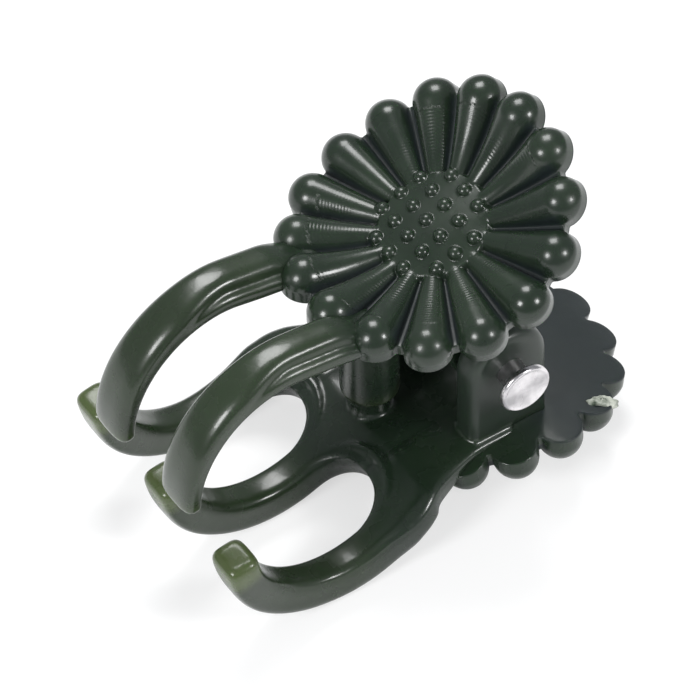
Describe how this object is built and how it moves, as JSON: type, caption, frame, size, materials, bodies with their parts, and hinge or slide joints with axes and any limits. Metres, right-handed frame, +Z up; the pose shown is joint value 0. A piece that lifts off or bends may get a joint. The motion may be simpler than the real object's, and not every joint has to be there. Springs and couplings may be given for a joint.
{
  "type": "orchid clip",
  "caption": "Spring clip with two flower-shaped thumb plates, whose curved prongs interlock to hold a plant stem against its stake",
  "frame": {"origin": "centre of the bottom of the closed clip's bounding box, on the surface that it lies on", "axes": "+X from the prongs to the thumb plates, +Y along the hinge pin towards its plain end, +Z up"},
  "size_m": [0.038, 0.0222, 0.0268],
  "materials": {
    "green_plastic": "glossy moulded plastic, very dark green, slightly translucent olive at the prong tips",
    "pin_steel": "bright plated steel pin",
    "spring_wire": "drawn spring steel wire"
  },
  "bodies": {
    "lower_jaw_body": {"lower_jaw": "green_plastic", "hinge_pin": "pin_steel", "torsion_spring": "spring_wire"},
    "upper_jaw_body": {"upper_jaw": "green_plastic"}
  },
  "joints": [
    {"name": "jaw_hinge", "type": "hinge", "parent": "lower_jaw_body", "child": "upper_jaw_body", "pos_m": [0.00713, 0, 0.01125], "axis": [0, 1, 0], "range_deg": [0, 60], "stiffness_Nm_per_rad": 0.02, "springref_deg": -28.65, "deforming": ["torsion_spring"]}
  ]
}
